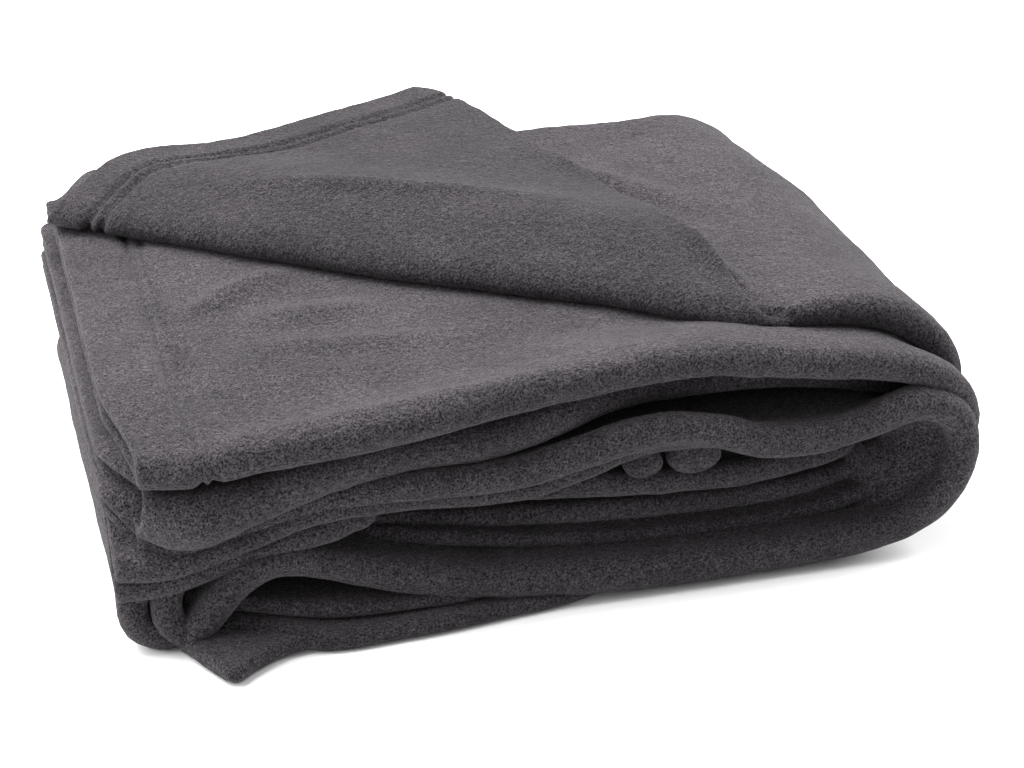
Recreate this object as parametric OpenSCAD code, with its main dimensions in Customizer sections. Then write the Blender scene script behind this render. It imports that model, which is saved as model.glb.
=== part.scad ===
// Folded plush throw: two folded halves stacked like a closed book, with the
// top corner turned back along a diagonal. Origin: centre of the flat underside.
// +X points to the rounded end folds, -Y to the rounded front folds, +Z up.

/* [Stack] */
// Width of the flat layers, from the hemmed ends to the middle of the end folds
layer_w = 382; // [340:2:420]
// Depth of the stack, from the front folds to the back edge
stack_d = 325; // [300:5:350]
// Thickness of one double layer of plush
leaf_t = 14; // [10:0.5:15]
// Height of the hollow left between the two halves
hollow_h = 10; // [6:1:14]

/* [Top strip] */
// Thickness of the soft double layer just under the turned corner
top_lower_t = 18; // [12:0.5:20]
// Thickness of the pressed double layer at the very top
top_upper_t = 10; // [8:0.5:12]

/* [Turned corner] */
// Thickness of the turned corner
corner_t = 10; // [8:0.5:12]
// Where the diagonal fold meets the left end, from the middle of the depth
diagonal_left_y = 120; // [100:5:130]
// Where the diagonal fold meets the end folds, from the middle of the depth
diagonal_right_y = -105; // [-115:5:-95]
// How far the turned corner hangs past the back edge
corner_overhang = 65; // [50:5:75]

/* [Hems] */
// Width of the hems
hem_w = 28; // [20:1:32]
// Diameter of the sewing thread
thread_d = 0.8; // [0.6:0.1:1]
// Length of one stitch
stitch_l = 4; // [3:0.5:6]
// Distance from one stitch to the next
stitch_pitch = 7; // [6:0.5:9]
// Distance between the two rows of stitches
row_gap = 6; // [4:0.5:8]

/* [Hidden] */
$fn = 96;

// Plush, seen from the side, on top and deep between the layers
plush = [0.31, 0.30, 0.31];
plush_light = [0.38, 0.36, 0.37];
plush_deep = [0.22, 0.21, 0.22];
thread = [0.18, 0.17, 0.18];

// Gap that keeps the turned corner and the upper half free to move
play = 0.5;

// Heights of the layers, from the surface that the throw lies on
second_z = 2 * leaf_t;
third_z = 4 * leaf_t + hollow_h;
top_z = third_z + 2 * leaf_t;
top_upper_z = top_z + top_lower_t;
stack_h = top_upper_z + top_upper_t;
corner_z = stack_h + play;

// The end folds turn round a line at half height
fold_x = 162;
fold_z = stack_h / 2;
outer_r = stack_h / 2;
inner_r = outer_r - second_z;
hollow_r = inner_r - 2 * leaf_t;

left_x = fold_x - layer_w;
front_y = -stack_d / 2;
back_y = stack_d / 2;

// The left folds join the bottom strip to the second strip
left_fold_x = left_x + second_z;

// The diagonal fold, from the left end to the end folds
diagonal_from = [left_x, diagonal_left_y];
diagonal_to = [fold_x, diagonal_right_y];
diagonal_run = diagonal_to - diagonal_from;
diagonal_l = norm(diagonal_run);
diagonal_turn = atan2(diagonal_run[1], diagonal_run[0]);

// Outline of the turned corner: its hemmed edge, its tip and its folded edge
corner_hem = [
    [left_x + 2, diagonal_left_y - 0.2],
    [left_x + 50, back_y + 15],
    [left_x + 130, back_y + 25],
    [22, back_y + corner_overhang]
];
corner_side = [[34, back_y + 42], [60, 120], [112, -15], [132, -84]];

// The inner line of the corner's hem, from its third point back to its first
function inward(from, to) = [to[1] - from[1], from[0] - to[0]] / norm(to - from);
function hem_inset(i) = let (
    before = inward(corner_hem[max(i - 1, 0)], corner_hem[max(i, 1)]),
    after = inward(corner_hem[i], corner_hem[i + 1])
) corner_hem[i] + hem_w * (before + after) / (1 + before * after);
corner_hem_inner = [for (i = [2 : -1 : 0]) hem_inset(i)];

// Round rolls that hang in the hollow, from the middle of the width
roll_r = hollow_h / 2 - 0.5;
roll_left_x = 45;
roll_right_x = 78;
roll_l = 200;

// Flat tip of the lowest layer that pokes out at the front
tip_from_x = -215;
tip_to_x = -130;
tip_x = -180;
tip_reach = 32;
tip_t = 8;

// A flat layer with rounded front and back edges
module leaf(from_x, to_x, z, t) {
    translate([from_x, 0, z])
        rotate([90, 0, 90])
            linear_extrude(to_x - from_x)
                union() {
                    translate([front_y + t / 2, 0])
                        square([stack_d - t, t]);
                    translate([front_y + t / 2, t / 2])
                        circle(d = t);
                    translate([back_y - t / 2, t / 2])
                        circle(d = t);
                }
}

// Half a ring that carries layers round an end; side 1 bulges to +X, -1 to -X
module end_fold(x, z, big_r, small_r, side) {
    translate([x, back_y, z])
        rotate([90, 0, 0])
            linear_extrude(stack_d)
                intersection() {
                    difference() {
                        circle(r = big_r);
                        circle(r = small_r);
                    }
                    translate([side > 0 ? 0 : -big_r, -big_r])
                        square([big_r, 2 * big_r]);
                }
}

// The part of the stack's plan behind the diagonal fold
module behind_diagonal() {
    translate(diagonal_from)
        rotate(diagonal_turn)
            translate([-diagonal_l, play])
                square([3 * diagonal_l, 2 * diagonal_l]);
}

module corner_outline() {
    intersection() {
        polygon(concat(corner_hem, corner_side));
        behind_diagonal();
    }
}

module corner_hem_zone() {
    intersection() {
        corner_outline();
        polygon(concat(corner_hem, [corner_side[0]], corner_hem_inner));
    }
}

// One stitch of thread lying along a line
module stitch() {
    rotate([0, 90, 0])
        cylinder(d = thread_d, h = stitch_l);
}

// A row of stitches along a straight stretch, set in from the edge on its right
module stitch_row(from, to, inset, z) {
    run = to - from;
    translate([from[0], from[1], z + thread_d / 2])
        rotate(atan2(run[1], run[0]))
            for (x = [stitch_pitch : stitch_pitch : norm(run) - stitch_pitch])
                translate([x, -inset, 0])
                    stitch();
}

module corner_stitches(inset) {
    for (i = [1 : len(corner_hem) - 2])
        stitch_row(corner_hem[i], corner_hem[i + 1], inset, corner_z + corner_t);
}

module bottom_strip_lower_leaf() {
    color(plush) leaf(left_fold_x, fold_x, 0, leaf_t);
}

module bottom_strip_upper_leaf() {
    color(plush) leaf(left_fold_x, fold_x, leaf_t, leaf_t);
}

module second_strip_lower_leaf() {
    color(plush) leaf(left_fold_x, fold_x, second_z, leaf_t);
}

module second_strip_upper_leaf() {
    color(plush_deep) leaf(left_fold_x, fold_x, second_z + leaf_t, leaf_t);
}

module left_fold_outer() {
    color(plush) end_fold(left_fold_x, second_z, second_z, leaf_t, -1);
}

module left_fold_inner() {
    color(plush_deep) end_fold(left_fold_x, second_z, leaf_t, leaf_t / 8, -1);
}

module outer_end_fold() {
    color(plush) end_fold(fold_x, fold_z, outer_r, inner_r, 1);
}

module inner_end_fold() {
    color(plush_deep) end_fold(fold_x, fold_z, inner_r, hollow_r, 1);
}

// The tip starts just in front of the bottom leaf's rounded edge
module bottom_corner() {
    color(plush)
        linear_extrude(tip_t)
            polygon([[tip_from_x, front_y], [tip_to_x, front_y], [tip_x, front_y - tip_reach]]);
}

module third_strip_lower_leaf() {
    color(plush_deep) leaf(left_x + hem_w, fold_x, third_z, leaf_t);
}

module third_strip_upper_leaf() {
    color(plush) leaf(left_x + hem_w, fold_x, third_z + leaf_t, leaf_t);
}

module third_strip_lower_hem() {
    color(plush) leaf(left_x, left_x + hem_w, third_z, leaf_t);
}

module third_strip_upper_hem() {
    color(plush) leaf(left_x, left_x + hem_w, third_z + leaf_t, leaf_t);
}

module top_strip_lower_leaf() {
    color(plush_light) leaf(left_x + hem_w, fold_x, top_z, top_lower_t);
}

module top_strip_hem() {
    color(plush_light) leaf(left_x, left_x + hem_w, top_z, top_lower_t);
}

// The row runs from the front to where the diagonal fold covers it
module top_strip_hem_stitches() {
    color(thread)
        stitch_row([left_x, diagonal_left_y - hem_w], [left_x, front_y + top_lower_t],
            -hem_w + row_gap, top_upper_z);
}

module top_strip_upper_leaf() {
    color(plush_light)
        translate([0, 0, top_upper_z])
            linear_extrude(top_upper_t)
                intersection() {
                    translate([left_x, front_y])
                        square([layer_w, stack_d]);
                    behind_diagonal();
                }
}

// Half a round bar that carries the cloth from the top strip into the corner
module diagonal_fold() {
    bar_r = (top_upper_t + play + corner_t) / 2;
    color(plush)
        translate([diagonal_from[0], diagonal_from[1], top_upper_z + bar_r])
            rotate(diagonal_turn)
                rotate([90, 0, 90])
                    linear_extrude(diagonal_l)
                        intersection() {
                            circle(r = bar_r);
                            translate([-bar_r, -bar_r])
                                square([bar_r, 2 * bar_r]);
                        }
}

// A round roll of the inner layers, hanging in the hollow
module inner_roll(x) {
    translate([x, front_y + roll_l, third_z - roll_r])
        rotate([90, 0, 0])
            cylinder(r = roll_r, h = roll_l);
}

module inner_roll_left() {
    color(plush_deep) inner_roll(roll_left_x);
}

module inner_roll_right() {
    color(plush_deep) inner_roll(roll_right_x);
}

module turned_corner_leaf() {
    color(plush)
        translate([0, 0, corner_z])
            linear_extrude(corner_t)
                difference() {
                    corner_outline();
                    corner_hem_zone();
                }
}

module turned_corner_hem() {
    color(plush)
        translate([0, 0, corner_z])
            linear_extrude(corner_t)
                corner_hem_zone();
}

module turned_corner_outer_stitches() {
    color(thread) corner_stitches(hem_w - row_gap);
}

module turned_corner_inner_stitches() {
    color(thread) corner_stitches(hem_w);
}

bottom_strip_lower_leaf();
bottom_strip_upper_leaf();
second_strip_lower_leaf();
second_strip_upper_leaf();
left_fold_outer();
left_fold_inner();
outer_end_fold();
inner_end_fold();
bottom_corner();
third_strip_lower_leaf();
third_strip_upper_leaf();
third_strip_lower_hem();
third_strip_upper_hem();
top_strip_lower_leaf();
top_strip_hem();
top_strip_hem_stitches();
top_strip_upper_leaf();
diagonal_fold();
inner_roll_left();
inner_roll_right();
turned_corner_leaf();
turned_corner_hem();
turned_corner_outer_stitches();
turned_corner_inner_stitches();
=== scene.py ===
"""Looks of the folded plush throw: soft double layers with rounded noses, the turned corner,
its hems and stitches, a studio floor and light. Lengths are in millimetres until a mesh is made."""

import math

import bpy
import numpy as np
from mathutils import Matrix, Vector, noise


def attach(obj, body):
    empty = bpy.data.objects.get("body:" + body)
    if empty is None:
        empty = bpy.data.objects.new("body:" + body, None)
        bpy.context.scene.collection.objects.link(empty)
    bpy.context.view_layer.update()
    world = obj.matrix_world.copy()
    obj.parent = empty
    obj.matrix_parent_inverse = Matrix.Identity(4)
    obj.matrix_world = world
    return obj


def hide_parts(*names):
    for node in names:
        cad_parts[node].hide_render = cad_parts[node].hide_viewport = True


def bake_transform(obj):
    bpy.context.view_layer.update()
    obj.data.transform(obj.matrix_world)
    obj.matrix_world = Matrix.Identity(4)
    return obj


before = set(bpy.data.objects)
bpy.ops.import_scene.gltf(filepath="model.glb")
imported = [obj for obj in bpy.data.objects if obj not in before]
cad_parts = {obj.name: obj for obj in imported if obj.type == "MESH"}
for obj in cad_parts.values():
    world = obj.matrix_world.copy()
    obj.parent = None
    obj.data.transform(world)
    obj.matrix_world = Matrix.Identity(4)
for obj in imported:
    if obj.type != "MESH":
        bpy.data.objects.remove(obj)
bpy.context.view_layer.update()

MM = 0.001
RIM_TURNS = (45, 90, 135)
NOSE_TURNS = np.radians(np.linspace(90, -90, 11))
ROW_DEPTH = 300.0
TINY = 1e-9

# the end folds: where along x a loop's section starts to change, and the line it is cut along
RING_GROWS = (150, 185)
RING_TURNS = (150, 168)
LOWER_RUN = (148, 166)
LOWER_RUN_Z = 55
RING_X = 162.0


# ---------------------------------------------------------------- camera
def aim_camera():
    data = bpy.data.cameras.new("camera")
    data.lens = 86.8
    data.sensor_width = 36.0
    data.clip_start, data.clip_end = 0.05, 20.0
    cam = bpy.data.objects.new("camera", data)
    bpy.context.scene.collection.objects.link(cam)
    cam.location = (-0.304, -1.169, 0.670)
    turn, dip = math.radians(15.12), math.radians(27.56)
    forward = Vector((math.sin(turn) * math.cos(dip), math.cos(turn) * math.cos(dip), -math.sin(dip)))
    cam.rotation_mode = "QUATERNION"
    cam.rotation_quaternion = forward.to_track_quat("-Z", "Y")
    bpy.context.scene.camera = cam


aim_camera()


# ---------------------------------------------------------------- shape helpers
def ease(low, high, x):
    t = np.clip((np.asarray(x, float) - low) / (high - low), 0, 1)
    return t * t * (3 - 2 * t)


def bump(x, centre, width):
    return np.exp(-(((np.asarray(x, float) - centre) / width) ** 2))


def through(points, at):
    """Smooth curve through points; at is the length along the straight runs between them."""
    p = np.array(points, float)
    run = np.linalg.norm(np.diff(p[:, :2], axis=0), axis=1)
    knot = np.concatenate([[0], np.cumsum(run)])
    slope = np.diff(p, axis=0) / run[:, None]
    tangent = np.empty_like(p)
    tangent[0], tangent[-1] = slope[0], slope[-1]
    share = (run[:-1] / (run[:-1] + run[1:]))[:, None]
    tangent[1:-1] = slope[:-1] * (1 - share) + slope[1:] * share
    k = np.clip(np.searchsorted(knot, at, side="right") - 1, 0, len(run) - 1)
    t = ((at - knot[k]) / run[k])[:, None]
    h = run[k][:, None]
    return (
        (2 * t**3 - 3 * t**2 + 1) * p[k]
        + (t**3 - 2 * t**2 + t) * h * tangent[k]
        + (3 * t**2 - 2 * t**3) * p[k + 1]
        + (t**3 - t**2) * h * tangent[k + 1]
    )


def spaced(total, plan):
    """Lengths from 0 to total; plan is (until, step) pairs."""
    out, here = [0.0], 0.0
    for until, step in plan:
        end = min(until, total)
        n = max(1, round((end - here) / step))
        if end > here:
            out.extend(np.linspace(here, end, n + 1)[1:])
        here = end
    if here < total:
        n = max(1, round((total - here) / plan[-1][1]))
        out.extend(np.linspace(here, total, n + 1)[1:])
    return np.array(out)


def run_length(stations):
    p = np.array(stations, float)[:, :2]
    return float(np.linalg.norm(np.diff(p, axis=0), axis=1).sum())


def normals_2d(path):
    d = np.gradient(path, axis=0)
    d /= np.linalg.norm(d, axis=1)[:, None] + TINY
    return np.stack([-d[:, 1], d[:, 0]], 1)


def depth_rows(near_step, far_step, growth, depth):
    out, step = [0.0], near_step
    while out[-1] < depth:
        out.append(out[-1] + step)
        step = min(step * growth, far_step)
    out = np.array(out)
    return out * depth / out[-1]


class Leaf:
    """A folded double layer of cloth: two plies joined by a round nose along the front.

    A station is (x, z, front y, half thickness, x, z, half thickness deeper in). The section
    changes from the front one to the deeper one over fade, in mm behind the front; ring_reach and
    ring_fade change that at the right end, and low_fade on the run that comes back underneath."""

    def __init__(self, stations, columns, ply, back_y=160.0, fade=(15, 90), rows=(3, 12, 1.3),
                 ring_reach=None, low_fade=None, ring_fade=None):
        total = run_length(stations)
        self.s = spaced(total, columns)
        st = through(stations, self.s)
        self.station = st
        front, deep = st[:, 0:2], st[:, 4:6]
        n_front, n_deep = normals_2d(front), normals_2d(deep)
        shares = depth_rows(rows[0], rows[1], rows[2], ROW_DEPTH) / ROW_DEPTH
        ns = len(self.s)
        back = back_y(self.s) if callable(back_y) else np.full(ns, back_y)
        yf, hf, hd = st[:, 2], st[:, 3], st[:, 6]
        nose_y = yf + hf
        depth = back - nose_y
        start, reach = fade
        if ring_reach:
            reach = reach + (ring_reach - reach) * ease(*RING_GROWS, st[:, 4])
        if ring_fade:
            at_ring = ease(*RING_TURNS, st[:, 4])
            start = start + (ring_fade[0] - start) * at_ring
            reach = reach + (ring_fade[1] - reach) * at_ring
        if low_fade:
            low = (1 - ease(*LOWER_RUN, st[:, 4])) * (st[:, 5] < LOWER_RUN_Z)
            start = start + (low_fade[0] - start) * low
            reach = reach + (low_fade[1] - reach) * low
        layers, self.side = [], []
        for share in shares[::-1]:
            layers.append((nose_y + depth * share, 1.0, 0.0))
            self.side.append(1)
        for a in NOSE_TURNS[1:-1]:
            layers.append((nose_y, math.sin(a), math.cos(a)))
            self.side.append(0)
        for share in shares:
            layers.append((nose_y + depth * share, -1.0, 0.0))
            self.side.append(-1)
        self.side = np.array(self.side)
        grid = np.zeros((ns, len(layers), 3))
        self.rest_y = np.zeros((ns, len(layers)))
        for j, (y, up, ahead) in enumerate(layers):
            g = ease(start, reach, y - yf)
            half = hf * (1 - g) + hd * g - ply / 2
            n = n_front * (1 - g[:, None]) + n_deep * g[:, None]
            n /= np.linalg.norm(n, axis=1)[:, None] + TINY
            mid = front * (1 - g[:, None]) + deep * g[:, None]
            grid[:, j, 0] = mid[:, 0] + n[:, 0] * half * up
            grid[:, j, 2] = mid[:, 1] + n[:, 1] * half * up
            grid[:, j, 1] = y - half * ahead
            self.rest_y[:, j] = grid[:, j, 1]
        self.mid = grid
        self.ply = ply

    def normals(self):
        du = np.gradient(self.mid, axis=0)
        dv = np.gradient(self.mid, axis=1)
        n = np.cross(dv, du)
        return n / (np.linalg.norm(n, axis=2)[:, :, None] + TINY)

    def faces(self, groove=None, lumps=1.0, seed=0.0, quiet=None):
        """Outer and inner faces of the cloth."""
        n = self.normals()
        half = self.ply / 2
        wave = lump_field(self.mid, seed) * lumps
        if quiet is not None:
            wave = wave * quiet
        outer = self.mid + n * (half + wave[:, :, None])
        inner = self.mid - n * half
        if groove is not None:
            outer = outer - n * groove[:, :, None]
        return outer, inner


# height and length of the pile's unevenness, and the way its noise is shifted
LUMPS = ((1.1, 48, 1), (0.55, 17, -1), (0.35, 6.5, 1))


def lump_field(points, seed):
    """Soft unevenness of a thick pile, in millimetres."""
    flat = points.reshape(-1, 3)
    out = np.empty(len(flat))
    shift = Vector((seed, -seed, 0.5 * seed))
    for i, p in enumerate(flat):
        v = Vector(p)
        out[i] = sum(height * noise.noise(v / size + way * shift) for height, size, way in LUMPS)
    return out.reshape(points.shape[:2])


ABOVE_TABLE = 0.3  # nothing of the cloth lies lower than this


def shown_object(name, verts, faces):
    """A smooth object from vertices in millimetres."""
    mesh = bpy.data.meshes.new(name)
    mesh.from_pydata([(x * MM, y * MM, z * MM) for x, y, z in verts], [], faces)
    mesh.validate(clean_customdata=False)
    mesh.polygons.foreach_set("use_smooth", [True] * len(mesh.polygons))
    obj = bpy.data.objects.new(name, mesh)
    bpy.context.scene.collection.objects.link(obj)
    return obj


def grid_piece(name, outer, inner, cells):
    """One closed mesh of the chosen cells of a two-sided grid, with rounded rims at the grid's
    own edges and plain cuts where the cloth goes on in another piece."""
    nu, nv = outer.shape[:2]
    verts, index, faces, flat_edges = [], {}, [], set()

    def vert(key, co):
        if key not in index:
            index[key] = len(verts)
            verts.append(co)
        return index[key]

    def top(i, j):
        return vert(("t", i, j), outer[i, j])

    def low(i, j):
        return vert(("b", i, j), inner[i, j])

    def rim(i, j, di, dj):
        a, b = outer[i, j], inner[i, j]
        mid, half = (a + b) / 2, np.linalg.norm(a - b) / 2
        up = (a - b) / (2 * half + TINY)
        out = mid - (outer[i - di, j - dj] + inner[i - di, j - dj]) / 2
        out -= up * (out @ up)
        out /= np.linalg.norm(out) + TINY
        ring = [top(i, j)]
        for turn in RIM_TURNS:
            r = math.radians(turn)
            ring.append(vert(("r", i, j, turn), mid + half * (math.cos(r) * up + math.sin(r) * out)))
        ring.append(low(i, j))
        return ring

    for i in range(nu - 1):
        for j in range(nv - 1):
            if not cells[i, j]:
                continue
            faces.append((top(i, j), top(i, j + 1), top(i + 1, j + 1), top(i + 1, j)))
            faces.append((low(i, j), low(i + 1, j), low(i + 1, j + 1), low(i, j + 1)))
            for (a, b, di, dj) in (
                ((i, j + 1), (i, j), -1, 0),
                ((i + 1, j), (i + 1, j + 1), 1, 0),
                ((i, j), (i + 1, j), 0, -1),
                ((i + 1, j + 1), (i, j + 1), 0, 1),
            ):
                ni, nj = i + di, j + dj
                inside = 0 <= ni < nu - 1 and 0 <= nj < nv - 1
                if inside and cells[ni, nj]:
                    continue
                if inside:
                    ta, tb, la, lb = top(*a), top(*b), low(*a), low(*b)
                    faces.append((ta, tb, lb, la))
                    flat_edges.add(frozenset((ta, tb)))
                    flat_edges.add(frozenset((la, lb)))
                else:
                    ra, rb = rim(*a, di, dj), rim(*b, di, dj)
                    for k in range(len(ra) - 1):
                        faces.append((ra[k], rb[k], rb[k + 1], ra[k + 1]))
    obj = shown_object(name, [(x, y, max(z, ABOVE_TABLE)) for x, y, z in verts], faces)
    sharp = [frozenset(e.vertices) in flat_edges for e in obj.data.edges]
    obj.data.edges.foreach_set("use_edge_sharp", sharp)
    return obj


def whole(leaf):
    return np.ones((leaf.mid.shape[0] - 1, leaf.mid.shape[1] - 1), bool)


def columns_between(leaf, from_s, to_s):
    cells = np.zeros((leaf.mid.shape[0] - 1, leaf.mid.shape[1] - 1), bool)
    middle = (leaf.s[:-1] + leaf.s[1:]) / 2
    cells[(middle >= from_s) & (middle < to_s), :] = True
    return cells


RIM_ALLOWANCE = 1.5  # cloth rolled into the rims, in thicknesses of it
LEAST_SHARE = 0.31  # of the width times the length; a smaller piece is measured along the diagonal
DIAGONAL_SPARE = 1.02
MOST_SHARE = 0.999


def piece_flat(leaf, cells):
    """Width, length and area of the chosen cells laid flat, in metres, with an allowance for the
    rims. They are measured on the modelled cloth, so they don't test it."""
    cut = cells.any(axis=1)
    across = np.linalg.norm(np.diff(leaf.mid, axis=0), axis=2)[:, :-1]
    along = np.linalg.norm(np.diff(leaf.mid, axis=1), axis=2)[:-1, :]
    area = float((across * along)[cells].sum()) * MM * MM
    width = float(along[cut].sum(axis=1).max()) * MM
    length = float(across.mean(axis=1)[cut].sum()) * MM
    if area < LEAST_SHARE * width * length:
        width = math.hypot(*(FOLD_TO - FOLD_FROM)) * MM
        length = DIAGONAL_SPARE * area / width
    rolled = RIM_ALLOWANCE * leaf.ply * MM
    area *= (1 + rolled / width) * (1 + rolled / length)
    width, length = round(width + rolled, 3), round(length + rolled, 3)
    return (width, length), min(area, MOST_SHARE * width * length)


# ---------------------------------------------------------------- the shared cut lines
# Every loop is cut where it leaves the flat upper layers and where it meets the flat lower ones.
def cut_lengths(leaf):
    """Lengths along a loop at which it passes the line of the end folds, going right and coming back."""
    x = leaf.station[:, 4]
    over = np.where(x > RING_X)[0]
    return leaf.s[over[0]] - 0.01, leaf.s[over[-1]] + 0.01


def upper_ring_lower(leaf):
    right, back = cut_lengths(leaf)
    return (columns_between(leaf, -1, right), columns_between(leaf, right, back),
            columns_between(leaf, back, 1e9))


# ---- T: the top layer with the corner that is turned back
FOLD_FROM = np.array([-221.0, 117.0])
FOLD_TO = np.array([155.0, -118.0])
FOLD_LENGTH = np.linalg.norm(FOLD_TO - FOLD_FROM)
FOLD_ALONG = (FOLD_TO - FOLD_FROM) / FOLD_LENGTH
FOLD_ACROSS = np.array([-FOLD_ALONG[1], FOLD_ALONG[0]])
FOLD_R = 5.8
FOLD_WRAP = math.pi * FOLD_R
STRIP_BEHIND = 30  # how much of the corner belongs to the fold's own piece
T_Z = 117.0
top_stations = [
    (-222, T_Z, -154, 5.0, -222, T_Z, 5.0),
    (-212, T_Z, -161, 5.0, -212, T_Z, 5.0),
    (-195, T_Z, -161, 5.0, -195, T_Z, 5.0),
    (-120, T_Z, -151, 5.0, -120, T_Z, 5.0),
    (0, T_Z, -137, 5.0, 0, T_Z, 5.0),
    (90, T_Z + 0.5, -127, 5.6, 90, T_Z, 5.0),
    (130, T_Z + 4, -124, 8.0, 130, T_Z + 0.5, 5.0),
    (152, 120.5, -124, 8.8, 152, 118, 5.0),
    (174, 117.5, -127, 9.5, 174, 116, 5.5),
    (193, 109.5, -131, 9.0, 192, 108, 5.8),
    (206, 97, -133, 8.0, 205, 97, 5.8),
    (214, 80, -132, 6.5, 214, 80, 5.8),
    (217, 62, -128, 6.0, 217, 61, 5.8),
    (213, 42, -125, 6.0, 213, 42, 5.8),
    (203, 26, -123, 6.0, 203, 25, 5.8),
    (187, 13, -122, 6.0, 187, 13, 6.0),
    (165, 7, -125, 6.3, 165, 7, 6.3),
    (100, 7, -122, 6.5, 100, 7, 6.5),
    (50, 6, -140, 5.5, 50, 7, 6.5),
    (10, 4.6, -165, 4.3, 10, 7, 6.5),
    (-40, 4.6, -175, 4.3, -40, 7, 6.5),
    (-90, 4.6, -180, 4.3, -90, 7, 6.5),
    (-130, 4.8, -179, 4.3, -130, 7, 6.5),
    (-160, 7.2, -165, 6.5, -160, 7, 6.5),
    (-190, 7.5, -158, 6.5, -190, 7, 6.5),
]


STITCH_STEP = 7.0
GROOVE_WIDTH = 1.9
T_STITCH_ROWS = (22, 30)
A_STITCH_ROWS = (27, 33)


def stitch_grooves(leaf, rows, depth):
    """How far the stitch rows pull the pile in, puckered between the stitches."""
    s = leaf.s[:, None]
    out = np.zeros(leaf.mid.shape[:2])
    pucker = 1 + 0.35 * np.sin(leaf.rest_y * 2 * math.pi / STITCH_STEP) * np.sin(leaf.rest_y * 0.11 + 1)
    for row in rows:
        drift = 0.5 * np.sin(leaf.rest_y * 0.09)
        out += depth * np.exp(-(((s - row - drift) / GROOVE_WIDTH) ** 2)) * pucker
    return out


FLATTEN_TO_Z, FLATTEN = 112, 0.42  # the fold is pressed towards this height, by this share
FLATTEN_FROM, FLATTEN_OVER = 9, 58
PUFF, PUFF_AT, PUFF_WIDTH = 8, 46, 30
SAG, SAG_REACH = 13, 70
END_CURL = 22  # the fold's right end gives up this much width as it dies out


def turn_back(p, flat_columns):
    """Bends the flat top layer round the diagonal, so that its corner lies back over the rest."""
    rel = p[..., :2] - FOLD_FROM
    t = rel @ FOLD_ALONG
    w = rel @ FOLD_ACROSS
    w = np.where(flat_columns[:, None], w, np.maximum(w, 1.5))
    # the fold dies out towards its right end, where the front edge only curls under
    length = FOLD_LENGTH
    dying = END_CURL * ease(length - 150, length + 15, t)
    shift = np.where(flat_columns[:, None], dying, 0)
    w = np.where(flat_columns[:, None], w + dying, w)
    delta = np.minimum(p[..., 2] - T_Z, FOLD_R - 0.6)
    delta = np.where(w < 0, delta, p[..., 2] - T_Z)
    turn = np.clip(-w / FOLD_R, 0, math.pi)
    over = np.maximum(-w - FOLD_WRAP, 0)
    r = FOLD_R - delta
    w_new = np.where(w >= 0, w, -r * np.sin(turn) + over)
    z_new = np.where(w >= 0, p[..., 2], T_Z + FOLD_R - r * np.cos(turn))
    # pressed thin along the fold, rising to a soft ridge some way behind it
    press = FLATTEN * (1 - np.clip((w_new + FLATTEN_FROM) / FLATTEN_OVER, 0, 1)) ** 2
    press *= 1 - ease(length - 70, length, t)
    z_new = FLATTEN_TO_Z + (z_new - FLATTEN_TO_Z) * (1 - press)
    puff = PUFF * bump(w_new, PUFF_AT, PUFF_WIDTH) * ease(15, 150, t)
    puff *= 1 - ease(length - 110, length - 15, t)
    z_new = z_new + np.where(over > 0, puff, puff * 0.4 * ease(20, 60, w_new))
    out = p.copy()
    out[..., :2] = FOLD_FROM + t[..., None] * FOLD_ALONG + (w_new - shift)[..., None] * FOLD_ACROSS
    out[..., 2] = z_new
    # the fold line sags forward in the middle, and the cloth near it goes along
    sag = -SAG * np.sin(np.clip(t / length, 0, 1) * math.pi) ** 1.5 * np.exp(-np.abs(w_new) / SAG_REACH)
    sag = np.where((t > -30) & (t < length + 1), sag, 0)
    out[..., :2] += sag[..., None] * FOLD_ACROSS
    keep = ~flat_columns
    out[keep] = p[keep]
    return out, w


top = Leaf(top_stations, [(44, 2.0), (400, 2.4), (640, 4.0), (2000, 12.0)], 4.6, fade=(15, 90),
           rows=(2.2, 2.8, 1.1), back_y=lambda s: 160 - 30 * (1 - ease(0, 70, s)))
hem_bulge = 24 * bump(top.mid[:, :, 1], 40, 42) * (1 - ease(0, 150, top.s))[:, None]
top.mid[:, :, 0] -= hem_bulge
top.rest_y = top.mid[:, :, 1].copy()


def settle(leaf):
    """The back right corner of the stack is rounded."""
    x, y = leaf.mid[:, :, 0], leaf.mid[:, :, 1]
    leaf.mid[:, :, 0] = x - 15 * ease(55, 165, y) * ease(60, 190, x)


settle(top)
top_groove = stitch_grooves(top, T_STITCH_ROWS, 3.6)
top_flat_w = (top.mid[:, :, :2] - FOLD_FROM) @ FOLD_ACROSS
# the base's upper face under the turned corner stays even, so that it doesn't poke through
top_hidden = (top.side[None, :] == 1) & (top_flat_w < 45) & (top.s[:, None] < 420)
# a crease: where it starts and ends on the plan, its height and its width
top_creases = (
    ((64, 97), (121, 25), 5, 11), ((44, 88), (100, 14), -2, 14), ((101, -35), (112, -92), 7, 6),
    ((86, -30), (98, -88), -3, 9), ((-112, 84), (34, 19), 4, 7),
)
second_creases = (
    ((-164, -18), (-110, 18), 7, 8), ((-138, -34), (-70, -30), 4, 9),
    ((-182, -45), (-176, -120), -4.5, 9), ((-160, -122), (10, -120), -3.5, 20),
    ((-140, -66), (-30, -78), 3, 9), ((-176, -150), (10, -148), 2, 6),
)


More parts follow.
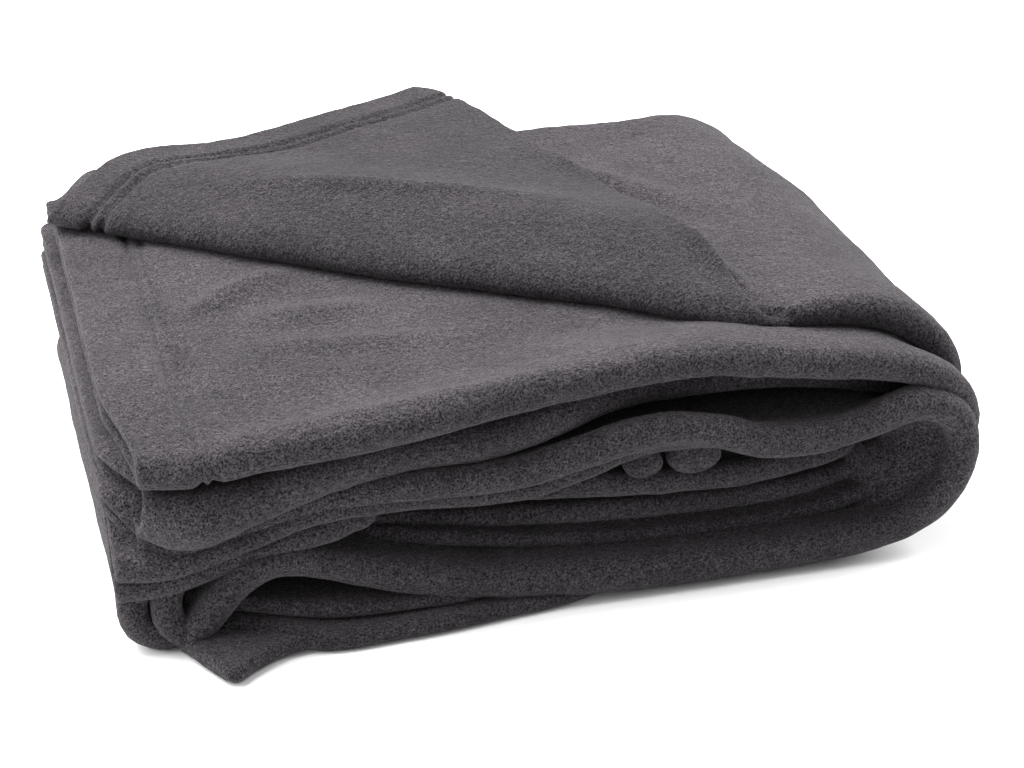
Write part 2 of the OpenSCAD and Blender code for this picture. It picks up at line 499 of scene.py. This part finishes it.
def crease(points, creases):
    """Raises or sinks soft ridges in the cloth's top, each along a straight line on the plan."""
    for start, end, height, width in creases:
        start, end = np.array(start), np.array(end)
        length = np.linalg.norm(end - start)
        along = (end - start) / length
        rel = points[..., :2] - start
        t = rel @ along / length
        off = rel[..., 0] * along[1] - rel[..., 1] * along[0]
        rise = height * np.exp(-((off / width) ** 2)) * ease(-0.2, 0.35, t) * (1 - ease(0.65, 1.2, t))
        points[..., 2] += rise * ease(94, 106, points[..., 2])


top_outer, top_inner = top.faces(top_groove, seed=3.0, quiet=np.where(top_hidden, 0.0, 1.0))
right_s, _ = cut_lengths(top)
top_outer, top_w = turn_back(top_outer, top.s < right_s)
top_inner, _ = turn_back(top_inner, top.s < right_s)
crease(top_outer, top_creases)
crease(top_inner, top_creases)
upper, top_ring, top_lower = upper_ring_lower(top)
w_cell = (top_w[:-1, :-1] + top_w[1:, 1:]) / 2
turned = upper & (w_cell < -FOLD_WRAP - STRIP_BEHIND)
fold_strip = upper & (w_cell >= -FOLD_WRAP - STRIP_BEHIND) & (w_cell < 1)
base = upper & (w_cell >= 1)

# ---- A: the soft double layer under the turned corner
a_stations = [
    (-209, 97, -158, 9.5, -218, 102, 8.5),
    (-190, 98, -164, 9.5, -195, 102.5, 9),
    (-150, 101, -164, 9, -150, 103, 9),
    (-100, 105, -163, 9, -100, 103, 9),
    (-50, 110, -161, 9, -50, 103, 9),
    (0, 115, -158, 9, 0, 103, 9),
    (50, 118, -156, 9, 50, 103, 9),
    (85, 116.5, -156, 9, 85, 103, 9),
    (115, 112, -157, 9, 115, 103, 9),
    (140, 108, -158, 9, 140, 103, 9),
    (165, 104, -159, 8.5, 163, 102.5, 8.5),
    (187, 98, -160, 8, 182, 97.5, 7.5),
    (202, 88, -160, 7.8, 195, 87, 7),
    (211, 75, -158, 7.4, 201.5, 75, 6.8),
    (214.5, 61, -155, 7, 203.5, 61.5, 6.8),
    (210.5, 47, -150, 6.8, 201, 47, 6.8),
    (200, 34, -142, 6.8, 193, 34, 6.8),
    (184, 25, -135, 6.8, 180, 25, 6.8),
    (163, 21, -124, 6.8, 163, 21, 6.8),
    (100, 21, -118, 6.8, 100, 21, 6.8),
    (40, 16, -128, 4.5, 40, 21, 6.5),
    (0, 13, -148, 4.2, 0, 21, 6.5),
    (-50, 12.8, -165, 4.2, -50, 21, 6.5),
    (-110, 13.4, -168, 4.2, -110, 21, 6.5),
    (-190, 21, -150, 6, -190, 21, 6.5),
]
a_leaf = Leaf(a_stations, [(44, 2.5), (640, 4.0), (2000, 12.0)], 6.2, fade=(12, 75), rows=(2.6, 3.6, 1.1),
              back_y=lambda s: 160 + 37 * bump(s, 40, 40) - 22 * (1 - ease(0, 20, s)), ring_reach=28)

# ---- B: the layer under it, puffed and hanging at its left end
b_stations = [
    (-208, 72, -158, 14, -224, 86, 6.5),
    (-194, 69, -168, 17, -200, 87, 6.5),
    (-164, 75.5, -167, 13.5, -164, 87, 6.5),
    (-124, 85, -163, 10.5, -124, 87, 6.5),
    (-87, 88, -159, 10, -87, 87, 6.5),
    (-42, 89.5, -157, 10.5, -42, 87, 6.5),
    (-7, 95, -154, 10.5, -7, 87, 6.5),
    (20, 99, -148, 8.5, 20, 87, 6.5),
    (50, 99, -142, 7.5, 50, 87, 6.5),
    (80, 97, -138, 7, 80, 87, 6.5),
    (110, 95, -137, 7, 110, 87, 6.5),
    (140, 91.5, -137, 7, 140, 87, 6.5),
    (163, 87, -138, 6.5, 163, 87, 6.5),
    (177, 83, -138, 6.3, 177, 83, 6.3),
    (186.5, 74, -138, 6.3, 186.5, 74, 6.3),
    (189.5, 61, -138, 6.3, 189.5, 61, 6.3),
    (186.5, 48, -136, 6.3, 186.5, 48, 6.3),
    (177, 39, -134, 6.3, 177, 39, 6.3),
    (163, 35, -122, 6.3, 163, 35, 6.3),
    (60, 35, -112, 6.3, 60, 35, 6.3),
    (-60, 35, -112, 6.3, -60, 35, 6.3),
    (-190, 35, -112, 6.3, -190, 35, 6.3),
]
b_leaf = Leaf(b_stations, [(440, 4.0), (2000, 12.0)], 5.6, fade=(8, 50), rows=(2.6, 14, 1.28),
              back_y=lambda s: 160 + 28 * bump(s, 32, 42) - 16 * (1 - ease(0, 18, s)))

# ---- C: the loop that lies furthest forward, and hangs down in front of the lower layers
c_stations = [
    (-208, 50, -150, 8, -225, 72, 6.2),
    (-198, 50.5, -156, 8, -200, 73, 6.2),
    (-165, 60, -158, 8, -165, 73, 6.2),
    (-124, 70.5, -160, 8, -124, 73, 6.2),
    (-90, 74, -163, 8, -90, 73, 6.2),
    (-62, 73, -164, 8, -62, 73, 6.2),
    (-23, 74, -165, 9, -23, 73, 6.2),
    (7, 83, -166, 9.5, 7, 73, 6.2),
    (27, 90, -167, 9.5, 27, 73, 6.2),
    (51, 93, -167, 9.8, 51, 73, 6.2),
    (76, 86, -168, 10, 76, 73, 6.2),
    (98, 75, -168, 10, 98, 73, 6.2),
    (126, 72, -168, 10, 126, 73, 6.2),
    (156, 78, -168, 10, 150, 73, 6.2),
    (183, 84, -168, 9.5, 163, 73, 6.2),
    (198, 78.5, -168, 9, 171.5, 70.5, 6.2),
    (205.5, 68, -168, 8.8, 175, 66.5, 6.2),
    (207.5, 55, -169, 8.8, 176.3, 61, 6.2),
    (204.5, 42, -170, 9, 175, 55.5, 6.2),
    (196, 30.5, -171, 9.2, 171.5, 51.5, 6.2),
    (181, 20.5, -172, 9.6, 163, 49, 6.2),
    (158, 13.8, -172, 9.8, 150, 49, 6.2),
    (130, 11.3, -172, 10, 130, 49, 6.2),
    (100, 10.6, -172, 10, 100, 49, 6.2),
    (60, 10.6, -172, 10, 60, 49, 6.2),
    (20, 11.5, -172, 10, 20, 49, 6.2),
    (-18, 14.5, -171, 9.8, -18, 49, 6.2),
    (-60, 20, -169, 9.5, -60, 49, 6.2),
    (-89, 26.5, -167, 9.2, -89, 49, 6.2),
    (-115, 34, -165, 9, -115, 49, 6.2),
    (-135, 40, -164, 8.6, -135, 49, 6.2),
    (-150, 41.5, -164, 8.4, -150, 49, 6.2),
    (-163, 37, -165, 8.3, -163, 49, 6.2),
    (-176, 26, -166, 8.2, -176, 49, 6.2),
    (-187, 14, -167, 8, -190, 49, 6.2),
    (-192, 9, -166, 8, -200, 49, 6.2),
]
c_leaf = Leaf(c_stations, [(2000, 3.5)], 6.0, fade=(3, 24), rows=(2.2, 14, 1.28),
              low_fade=(22, 60), ring_fade=(14, 30),
              back_y=lambda s: 160 + 20 * bump(s, 30, 42) - 14 * (1 - ease(0, 18, s)))

for loop in (a_leaf, b_leaf, c_leaf):
    settle(loop)
a_outer, a_inner = a_leaf.faces(stitch_grooves(a_leaf, A_STITCH_ROWS, 2.6), seed=11.0)
crease(a_outer, second_creases)
crease(a_inner, second_creases)
b_outer, b_inner = b_leaf.faces(seed=23.0)
c_outer, c_inner = c_leaf.faces(seed=31.0)

shown = {}


def add(name, leaf, outer, inner, cells, body=None, stands_for=()):
    """One sheet that rides on a body, or, without one, stays where it lies with its transform baked in."""
    obj = grid_piece(name, outer, inner, cells)
    if body:
        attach(obj, body)
    else:
        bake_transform(obj)
    if stands_for:
        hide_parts(*stands_for)
    flat, area = piece_flat(leaf, cells)
    shown[name] = obj


add("top_layer", top, top_outer, top_inner, base, "upper_half",
    stands_for=["top_strip_upper_leaf"])
add("corner_fold", top, top_outer, top_inner, fold_strip,
    stands_for=["diagonal_fold"])
add("turned_corner", top, top_outer, top_inner, turned, "turned_corner",
    stands_for=["turned_corner_leaf", "turned_corner_hem"])
add("top_layer_end_fold", top, top_outer, top_inner, top_ring,
    stands_for=["outer_end_fold"])
add("bottom_layer", top, top_outer, top_inner, top_lower, "lower_half",
    stands_for=["bottom_strip_lower_leaf"])

a_up, a_ring, a_low = upper_ring_lower(a_leaf)
add("second_layer", a_leaf, a_outer, a_inner, a_up, "upper_half",
    stands_for=["top_strip_lower_leaf", "top_strip_hem"])
add("second_layer_end_fold", a_leaf, a_outer, a_inner, a_ring)
add("seventh_layer", a_leaf, a_outer, a_inner, a_low, "lower_half",
    stands_for=["bottom_strip_upper_leaf"])

b_up, b_ring, b_low = upper_ring_lower(b_leaf)
add("third_layer", b_leaf, b_outer, b_inner, b_up, "upper_half",
    stands_for=["third_strip_upper_leaf", "third_strip_upper_hem"])
add("third_layer_end_fold", b_leaf, b_outer, b_inner, b_ring)
add("sixth_layer", b_leaf, b_outer, b_inner, b_low, "lower_half",
    stands_for=["second_strip_lower_leaf"])

c_up, c_ring, c_low = upper_ring_lower(c_leaf)
add("fourth_layer", c_leaf, c_outer, c_inner, c_up, "upper_half",
    stands_for=["third_strip_lower_leaf", "third_strip_lower_hem"])
add("fourth_layer_end_fold", c_leaf, c_outer, c_inner, c_ring,
    stands_for=["inner_end_fold"])
add("fifth_layer", c_leaf, c_outer, c_inner, c_low, "lower_half",
    stands_for=["second_strip_upper_leaf"])

# ---- inner folds that show inside the loop and at the left end
# Each has stations (x, z, front y, half thickness), its height and half thickness deeper in (None
# where the height stays), the y of its back, its body and what it rests on.
inner_folds = {
    "inner_fold_high": ([
        (-125, 57, -118, 5.5), (-80, 57, -130, 6), (-40, 55, -142, 6.5), (0, 53.5, -148, 7),
        (30, 51, -149, 7), (66, 48.5, -149, 7.2), (113, 48.5, -147, 7.2), (148, 50.5, -141, 6.8),
        (168, 56, -134, 5.5),
    ], 61, 4.2, -95, "lower_half", ["fifth_layer"]),
    "inner_fold_middle": ([
        (-160, 47, -120, 5), (-125, 45, -130, 5.5), (-88, 42, -138, 6), (-18, 37, -142, 6),
        (18, 34.5, -143, 6), (60, 32.5, -143, 6), (100, 31.5, -143, 5.8), (145, 35, -141, 5.5),
        (172, 43, -138, 5),
    ], 44, 4.2, -122, "lower_half", ["fifth_layer"]),
    "inner_fold_low": ([
        (-120, 42, -134, 4.2), (-80, 38, -146, 4.4), (-25, 29, -150, 4.6), (20, 23, -151, 4.8),
        (60, 21.5, -152, 4.8), (100, 21.5, -152, 4.8), (145, 25, -151, 4.8), (178, 35, -149, 4.6),
    ], 30, 4.2, -128, "lower_half", ["fifth_layer"]),
    "hollow_lining": ([
        (-223, 46, -156, 7), (-205, 46, -161, 7), (-165, 54, -160, 6.5), (-124, 64.5, -160, 6),
        (-88, 66, -160, 6), (-18, 63, -159, 6), (5, 68, -158, 6), (29, 74, -156, 6), (48, 77, -152, 5.5),
    ], 62, 4.2, -60, "upper_half", ["fifth_layer"]),
    "tucked_end": ([
        (-224, 33, -155, 7), (-200, 37, -160, 7), (-176, 43, -160, 7), (-140, 51, -160, 6.8),
        (-112, 56.5, -158, 6.5), (-99, 59, -152, 5.5), (-94, 60, -140, 5),
    ], 58, 4.0, -110, "lower_half", ["fifth_layer"]),
    "left_fold_front": ([
        (-211, 36, -152, 7), (-218, 25, -155, 7.5), (-216, 13, -158, 7.5), (-206, 7.6, -160, 7.5),
        (-192, 7.8, -158, 7.2),
    ], None, 6.5, 140, "lower_half", ["table"]),
    "left_fold_inside": ([
        (-196, 38, -156, 7), (-202, 28, -160, 7.8), (-201, 16, -164, 8), (-193, 9.5, -165, 7.8),
        (-182, 9.2, -162, 7),
    ], None, 5.5, 140, "lower_half", ["bottom_layer"]),
    "lowest_corner_tip": ([
        (-212, 5, -146, 4), (-198, 5, -160, 4.4), (-187, 5, -180, 4.4), (-177, 5.5, -197, 4.4),
        (-168, 5, -191, 4.4), (-152, 5, -181, 4.4), (-130, 5, -176, 4.2),
    ], None, 4.2, -120, "lower_half", ["table"]),
}
inner_fold_nodes = {
    "lowest_corner_tip": ["bottom_corner"],
    "left_fold_front": ["left_fold_outer"],
    "left_fold_inside": ["left_fold_inner"],
}
for k, (name, (front, deep_z, deep_h, back, body, on)) in enumerate(inner_folds.items()):
    stations = [(x, z, y, h, x, z if deep_z is None else deep_z, deep_h) for x, z, y, h in front]
    span = (3, 22) if back < -130 else (6, 40)
    ply = 3.6 if name == "lowest_corner_tip" else 4.2
    leaf = Leaf(stations, [(1000, 3.5)], ply, back_y=back, fade=span, rows=(2.4, 8, 1.25))
    outer, inner = leaf.faces(lumps=0.8, seed=41.0 + 7 * k)
    add(name, leaf, outer, inner, whole(leaf), body, stands_for=inner_fold_nodes.get(name, []))


# ---- rolls of the inner layers that hang in the hollow
ROLL_TURNS, ROLL_RINGS = 28, 26
ROLL_FRONT_Y, ROLL_DEPTH = -152, 190
ROLL_BACK_HALF, ROLL_BACK_Z = 4.2, 61
ROLL_END = 9  # the round end takes one part in this many of its rings


def roll(name, x, width, low_z, high_z, stands):
    """A round end in front, which runs back as a thinner roll between the halves."""
    turns, lengths = ROLL_TURNS, ROLL_RINGS
    rings = []
    for i in range(lengths):
        t = i / (lengths - 1)
        y = ROLL_FRONT_Y + ROLL_DEPTH * t**1.6
        open_end = math.sqrt(max(0.0, 1 - (1 - min(1, t * ROLL_END)) ** 2)) if t < 0.111 else 1.0
        shrink = 1 - ease(-150, -105, y)
        size = max(open_end, 0.05)
        half_w = (ROLL_BACK_HALF + (width - ROLL_BACK_HALF) * shrink) * size
        half_h = (ROLL_BACK_HALF + ((high_z - low_z) / 2 - ROLL_BACK_HALF) * shrink) * size
        z = ROLL_BACK_Z + ((high_z + low_z) / 2 - ROLL_BACK_Z) * shrink
        rings.append([(x + half_w * math.cos(a), y, z + half_h * math.sin(a))
                      for a in np.linspace(0, 2 * math.pi, turns, endpoint=False)])
    verts = [v for ring in rings for v in ring]
    faces = []
    for i in range(lengths - 1):
        for j in range(turns):
            a, b = i * turns + j, i * turns + (j + 1) % turns
            faces.append((a, b, b + turns, a + turns))
    faces.append(tuple(range(turns))[::-1])
    faces.append(tuple((lengths - 1) * turns + j for j in range(turns)))
    obj = shown_object(name, verts, faces)
    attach(obj, "upper_half")
    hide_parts(stands)
    shown[name] = obj


roll("inner_roll_front", 40, 10.5, 55.5, 72, "inner_roll_left")
roll("inner_roll_back", 67, 14.5, 54.5, 74, "inner_roll_right")


# ---------------------------------------------------------------- stitches
STITCH_LENGTH, STITCH_RADIUS, STITCH_PROUD = 3.4, 0.4, 0.1


def capsule(centre, along, up, length, radius, verts, faces):
    """A short thread lying along a direction."""
    along = along / np.linalg.norm(along)
    side = np.cross(along, up)
    side /= np.linalg.norm(side) + TINY
    up = np.cross(side, along)
    start = len(verts)
    profile = [(-0.5, 0.35), (-0.42, 0.85), (0, 1.0), (0.42, 0.85), (0.5, 0.35)]
    for t, r in profile:
        for k in range(8):
            a = k * math.pi / 4
            verts.append(centre + along * length * t + radius * r * (math.cos(a) * side + math.sin(a) * up))
    for i in range(len(profile) - 1):
        for k in range(8):
            a, b = start + i * 8 + k, start + i * 8 + (k + 1) % 8
            faces.append((a, b, b + 8, a + 8))
    faces.append(tuple(start + k for k in range(8))[::-1])
    faces.append(tuple(start + (len(profile) - 1) * 8 + k for k in range(8)))


def stitch_piece(name, leaf, outer, inner, row, side, keep, body, stands=()):
    """Thread stitches lying in one groove, on the side of the leaf that shows."""
    i = int(np.argmin(np.abs(leaf.s - row)))
    js = np.where(leaf.side == side)[0]
    line = outer[i, js]
    up = outer[i, js] - inner[i, js]
    up /= np.linalg.norm(up, axis=1)[:, None]
    run = np.concatenate([[0], np.cumsum(np.linalg.norm(np.diff(line, axis=0), axis=1))])
    verts, faces = [], []
    for place in np.arange(5, run[-1] - 5, STITCH_STEP):
        p = np.array([np.interp(place, run, line[:, k]) for k in range(3)])
        q = np.array([np.interp(place + 1, run, line[:, k]) for k in range(3)])
        n = np.array([np.interp(place, run, up[:, k]) for k in range(3)])
        if keep(p):
            capsule(p + n * STITCH_PROUD, q - p, n, STITCH_LENGTH, STITCH_RADIUS, verts, faces)
    obj = shown_object(name, verts, faces)
    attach(obj, body)
    if stands:
        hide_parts(*stands)
    shown[name] = obj


def on_corner(p):
    """On the part of the turned corner that moves as one with its body."""
    return p[2] > T_Z + 2 * FOLD_R - 2 and (p[:2] - FOLD_FROM) @ FOLD_ACROSS > 24


def before_corner(p):
    """On the part of the second layer that the turned corner doesn't cover."""
    return p[1] < 80


outer_row, inner_row = T_STITCH_ROWS
stitch_piece("corner_stitches_outer", top, top_outer, top_inner, outer_row, -1, on_corner,
             "turned_corner", ["turned_corner_outer_stitches"])
stitch_piece("corner_stitches_inner", top, top_outer, top_inner, inner_row, -1, on_corner,
             "turned_corner", ["turned_corner_inner_stitches"])
outer_row, inner_row = A_STITCH_ROWS
stitch_piece("second_layer_stitches_outer", a_leaf, a_outer, a_inner, outer_row, 1, before_corner,
             "upper_half", ["top_strip_hem_stitches"])
stitch_piece("second_layer_stitches_inner", a_leaf, a_outer, a_inner, inner_row, 1, before_corner,
             "upper_half")


# ---------------------------------------------------------------- materials
PLUSH_COLOUR = (0.0248, 0.0222, 0.0249)
NAP_SHADE = 0.68  # painted shade: how much darker the pile is painted on the turned corner, where its nap lies the other way


def plush_material(name, tone_value):
    """Charcoal pile with a slow random mottle and soft sheen. Its colour also carries painted shade and
    highlight: the tufts and clumps that the bump raises are painted light and the gaps between them dark,
    over a random grain.
    """
    mat = bpy.data.materials.new(name)
    mat.use_nodes = True
    nt = mat.node_tree
    nodes, links = nt.nodes, nt.links
    nodes.clear()
    out = nodes.new("ShaderNodeOutputMaterial")
    shader = nodes.new("ShaderNodeBsdfPrincipled")
    links.new(shader.outputs["BSDF"], out.inputs["Surface"])
    place = nodes.new("ShaderNodeTexCoord")

    def noise_node(scale, detail, rough):
        n = nodes.new("ShaderNodeTexNoise")
        n.inputs["Scale"].default_value = scale
        n.inputs["Detail"].default_value = detail
        n.inputs["Roughness"].default_value = rough
        links.new(place.outputs["Object"], n.inputs["Vector"])
        return n

    tufts = noise_node(950.0, 3.0, 0.7)
    clumps = noise_node(330.0, 2.0, 0.6)
    mottle = noise_node(24.0, 3.0, 0.55)

    def ramp(low, high, from_value, to_value):
        r = nodes.new("ShaderNodeMapRange")
        r.inputs["From Min"].default_value = low
        r.inputs["From Max"].default_value = high
        r.inputs["To Min"].default_value = from_value
        r.inputs["To Max"].default_value = to_value
        return r

    def times(a, b):
        m = nodes.new("ShaderNodeMath")
        m.operation = "MULTIPLY"
        links.new(a, m.inputs[0])
        links.new(b, m.inputs[1])
        return m.outputs[0]

    # painted shade and highlight over a random grain: the tufts that the bump raises are painted light, the
    # gaps between them dark
    grain_and_gap_shade = ramp(0.37, 0.67, 0.06, 2.8)
    links.new(tufts.outputs["Fac"], grain_and_gap_shade.inputs["Value"])
    patch = ramp(0.3, 0.7, 0.82, 1.2)
    links.new(mottle.outputs["Fac"], patch.inputs["Value"])
    # painted shade: the clumps that the bump raises are painted lighter, the hollows between them darker
    clump_tone_and_shade = ramp(0.3, 0.7, 0.72, 1.3)
    links.new(clumps.outputs["Fac"], clump_tone_and_shade.inputs["Value"])
    tone = times(times(grain_and_gap_shade.outputs["Result"], patch.outputs["Result"]), clump_tone_and_shade.outputs["Result"])
    base = nodes.new("ShaderNodeMix")
    base.data_type = "RGBA"
    base.blend_type = "MULTIPLY"
    base.inputs["Factor"].default_value = 1.0
    base.inputs["A"].default_value = tuple(c * tone_value for c in PLUSH_COLOUR) + (1,)
    links.new(tone, base.inputs["B"])
    links.new(base.outputs["Result"], shader.inputs["Base Color"])
    height = nodes.new("ShaderNodeMath")
    height.operation = "MULTIPLY_ADD"
    links.new(clumps.outputs["Fac"], height.inputs[0])
    height.inputs[1].default_value = 1.6
    links.new(tufts.outputs["Fac"], height.inputs[2])
    relief = nodes.new("ShaderNodeBump")
    relief.inputs["Strength"].default_value = 0.9
    relief.inputs["Distance"].default_value = 0.0011
    links.new(height.outputs[0], relief.inputs["Height"])
    links.new(relief.outputs["Normal"], shader.inputs["Normal"])
    shader.inputs["Roughness"].default_value = 0.95
    shader.inputs["Specular IOR Level"].default_value = 0.1
    shader.inputs["Sheen Weight"].default_value = 0.13
    shader.inputs["Sheen Roughness"].default_value = 0.5
    shader.inputs["Sheen Tint"].default_value = (0.6, 0.57, 0.6, 1)
    return mat


def thread_material():
    mat = bpy.data.materials.new("thread")
    mat.use_nodes = True
    nt = mat.node_tree
    shader = nt.nodes["Principled BSDF"]
    twist = nt.nodes.new("ShaderNodeTexNoise")
    twist.inputs["Scale"].default_value = 900.0
    tone = nt.nodes.new("ShaderNodeMix")
    tone.data_type = "RGBA"
    tone.inputs["A"].default_value = (0.004, 0.004, 0.004, 1)
    tone.inputs["B"].default_value = (0.014, 0.013, 0.014, 1)
    nt.links.new(twist.outputs["Fac"], tone.inputs["Factor"])
    nt.links.new(tone.outputs["Result"], shader.inputs["Base Color"])
    shader.inputs["Roughness"].default_value = 0.7
    return mat


plush = plush_material("plush", 1.0)
# a darker copy of the plush, with painted shade for the turned corner and its fold
plush_nap_shaded = plush_material("plush_painted_nap_shade", NAP_SHADE)
thread = thread_material()
for name, obj in shown.items():
    # the turned corner and its fold get the copy with painted shade
    gets_nap_shade = name in ("turned_corner", "corner_fold")
    material = plush_nap_shaded if gets_nap_shade else plush
    obj.data.materials.append(thread if "stitches" in name else material)


# ---------------------------------------------------------------- floor and light
def studio():
    """A white table under an even white sky, with one large lamp behind and one on each side."""
    mesh = bpy.data.meshes.new("table")
    mesh.from_pydata([(-6, -6, 0), (6, -6, 0), (6, 6, 0), (-6, 6, 0)], [], [(0, 1, 2, 3)])
    floor = bpy.data.objects.new("table", mesh)
    bpy.context.scene.collection.objects.link(floor)
    mat = bpy.data.materials.new("white_table")
    mat.use_nodes = True
    matte = mat.node_tree.nodes["Principled BSDF"]
    matte.inputs["Base Color"].default_value = (0.93, 0.93, 0.93, 1)
    matte.inputs["Roughness"].default_value = 0.9
    mesh.materials.append(mat)
    world = bpy.data.worlds.new("studio")
    bpy.context.scene.world = world
    world.use_nodes = True
    world.node_tree.nodes["Background"].inputs["Color"].default_value = (1, 1, 1, 1)
    world.node_tree.nodes["Background"].inputs["Strength"].default_value = 0.5

    def softbox(name, place, size, power, aim=(0, 0, 0.08)):
        data = bpy.data.lights.new(name, "AREA")
        data.energy, data.size = power, size
        lamp = bpy.data.objects.new(name, data)
        bpy.context.scene.collection.objects.link(lamp)
        lamp.location = place
        lamp.rotation_mode = "QUATERNION"
        lamp.rotation_quaternion = (Vector(aim) - Vector(place)).to_track_quat("-Z", "Y")

    softbox("overhead_back", (-0.5, 0.6, 1.7), 1.6, 105)
    softbox("right_side", (1.7, 0.3, 1.0), 1.5, 60)
    softbox("left_side", (-1.7, 0.1, 0.9), 1.5, 42)


studio()
bpy.context.scene.view_settings.view_transform = "Standard"
